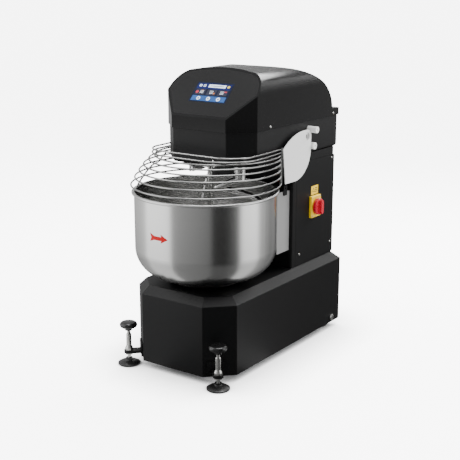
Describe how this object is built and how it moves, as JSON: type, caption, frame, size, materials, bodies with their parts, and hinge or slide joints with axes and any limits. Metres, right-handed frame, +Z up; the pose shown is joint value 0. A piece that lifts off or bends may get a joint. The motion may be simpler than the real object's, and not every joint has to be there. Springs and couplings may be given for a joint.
{
  "type": "spiral dough mixer",
  "caption": "Floor-standing spiral dough mixer with a turning bowl, spiral hook, breaker bar, lift-up wire guard, tilted touch display and screw-down front feet.",
  "frame": {"origin": "on the floor, under the middle of the machine", "axes": "+Z up, the front with the bowl and the display faces -Y, +X to the right of the machine seen from behind its front"},
  "size_m": [0.5276, 0.8609, 1.0435],
  "materials": {
    "black_paint": "satin powder coat",
    "gloss_black": "gloss",
    "stainless": "brushed",
    "bright_steel": "polished",
    "light_plate": "satin",
    "fascia": "matte",
    "screen": "gloss",
    "black_plastic": "satin",
    "pad_black": "matte",
    "tyre_grey": "matte",
    "white_plastic": "satin",
    "red_plastic": "gloss",
    "yellow_plastic": "satin",
    "red_film": "satin",
    "drive_metal": "cast",
    "cast_housing": "painted cast",
    "belt_rubber": "matte",
    "zinc": "zinc plated"
  },
  "bodies": {
    "frame": {"base_casing": "black_paint", "base_floor_plate": "black_paint", "rear_wheel_brackets": "zinc", "rear_axle_bolts": "zinc", "front_castor_brackets": "zinc", "foot_brackets": "black_paint", "foot_sleeves": "zinc", "bowl_bearing_housing": "cast_housing", "bowl_bearings": "bright_steel", "bowl_motor": "cast_housing", "bowl_belt": "belt_rubber", "column_casing": "black_paint", "side_panel_right": "black_paint", "side_panel_left": "black_paint", "rear_panel": "black_paint", "cable_gland": "black_plastic", "splash_plates": "light_plate", "splash_clips": "black_paint", "main_switch_plate": "yellow_plastic", "switch_label": "yellow_plastic", "control_unit": "white_plastic", "head_casing": "black_paint", "head_cover": "gloss_black", "fascia_panel": "fascia", "touch_display": "screen", "spiral_bearing_housing": "cast_housing", "spiral_motor": "cast_housing", "spiral_belt": "belt_rubber", "breaker_bar": "stainless", "guard_pivot_pins": "bright_steel", "guard_stops": "white_plastic", "guard_interlock": "black_plastic", "casing_screws": "zinc"},
    "bowl": {"bowl": "stainless", "bowl_turntable": "black_paint", "bowl_shaft": "bright_steel", "bowl_pulley": "drive_metal", "direction_arrow": "red_film"},
    "spiral": {"spiral_hook": "stainless", "spiral_shaft": "bright_steel", "spiral_pulley": "drive_metal"},
    "bowl_motor_rotor": {"bowl_motor_pulley": "drive_metal"},
    "spiral_motor_rotor": {"spiral_motor_pulley": "drive_metal"},
    "guard": {"guard_plate_left": "light_plate", "guard_plate_right": "light_plate", "guard_rings": "bright_steel", "guard_ribs": "bright_steel"},
    "switch_handle": {"main_switch_handle": "red_plastic"},
    "left_foot": {"foot_pad_left": "pad_black"},
    "left_foot_knob": {"foot_spindle_left": "zinc", "foot_knob_left": "black_plastic"},
    "right_foot": {"foot_pad_right": "pad_black"},
    "right_foot_knob": {"foot_spindle_right": "zinc", "foot_knob_right": "black_plastic"},
    "rear_wheel_left": {"rear_wheel_left": "tyre_grey"},
    "rear_wheel_right": {"rear_wheel_right": "tyre_grey"},
    "castor_left": {"castor_fork_left": "zinc"},
    "castor_right": {"castor_fork_right": "zinc"},
    "castor_left_wheel": {"castor_wheel_left": "tyre_grey"},
    "castor_right_wheel": {"castor_wheel_right": "tyre_grey"}
  },
  "joints": [
    {"name": "guard_hinge", "type": "hinge", "parent": "frame", "child": "guard", "pos_m": [0, 0.1735, 0.7906], "axis": [-1, 0, 0], "range_deg": [0, 65]},
    {"name": "bowl_spin", "type": "hinge", "parent": "frame", "child": "bowl", "pos_m": [0, -0.1695, 0.3], "axis": [0, 0, 1], "continuous": true},
    {"name": "spiral_spin", "type": "hinge", "parent": "frame", "child": "spiral", "pos_m": [0.112, -0.1195, 0.75], "axis": [0, 0, 1], "continuous": true},
    {"name": "bowl_motor_spin", "type": "hinge", "parent": "frame", "child": "bowl_motor_rotor", "pos_m": [0, 0.2505, 0.135], "axis": [0, 0, 1], "continuous": true},
    {"name": "spiral_motor_spin", "type": "hinge", "parent": "frame", "child": "spiral_motor_rotor", "pos_m": [0, 0.2505, 0.79], "axis": [0, 0, 1], "continuous": true},
    {"name": "main_switch_turn", "type": "hinge", "parent": "frame", "child": "switch_handle", "pos_m": [0.2, 0.2615, 0.514], "axis": [1, 0, 0], "range_deg": [0, 90]},
    {"name": "left_foot_lift", "type": "slide", "parent": "frame", "child": "left_foot", "axis": [0, 0, 1], "range_m": [0, 0.012]},
    {"name": "left_foot_knob_turn", "type": "hinge", "parent": "left_foot", "child": "left_foot_knob", "pos_m": [-0.197, -0.3705, 0.1], "axis": [0, 0, 1], "range_deg": [0, 2470]},
    {"name": "left_rear_wheel_roll", "type": "hinge", "parent": "frame", "child": "rear_wheel_left", "pos_m": [-0.177, 0.3685, 0.045], "axis": [1, 0, 0], "continuous": true},
    {"name": "left_castor_swivel", "type": "hinge", "parent": "frame", "child": "castor_left", "pos_m": [-0.11, -0.27, 0.09], "axis": [0, 0, 1], "continuous": true},
    {"name": "left_castor_roll", "type": "hinge", "parent": "castor_left", "child": "castor_left_wheel", "pos_m": [-0.11, -0.248, 0.032], "axis": [1, 0, 0], "continuous": true},
    {"name": "right_foot_lift", "type": "slide", "parent": "frame", "child": "right_foot", "axis": [0, 0, 1], "range_m": [0, 0.012]},
    {"name": "right_foot_knob_turn", "type": "hinge", "parent": "right_foot", "child": "right_foot_knob", "pos_m": [0.197, -0.3705, 0.1], "axis": [0, 0, 1], "range_deg": [0, 2470]},
    {"name": "right_rear_wheel_roll", "type": "hinge", "parent": "frame", "child": "rear_wheel_right", "pos_m": [0.177, 0.3685, 0.045], "axis": [1, 0, 0], "continuous": true},
    {"name": "right_castor_swivel", "type": "hinge", "parent": "frame", "child": "castor_right", "pos_m": [0.11, -0.27, 0.09], "axis": [0, 0, 1], "continuous": true},
    {"name": "right_castor_roll", "type": "hinge", "parent": "castor_right", "child": "castor_right_wheel", "pos_m": [0.11, -0.248, 0.032], "axis": [1, 0, 0], "continuous": true}
  ],
  "couplings": [
    {"joint": "bowl_motor_spin", "follows": "bowl_spin", "ratio": 3.5},
    {"joint": "spiral_motor_spin", "follows": "spiral_spin", "ratio": 1.4667},
    {"joint": "left_foot_knob_turn", "follows": "left_foot_lift", "rad_per_m": 3590.4},
    {"joint": "right_foot_knob_turn", "follows": "right_foot_lift", "rad_per_m": 3590.4}
  ]
}
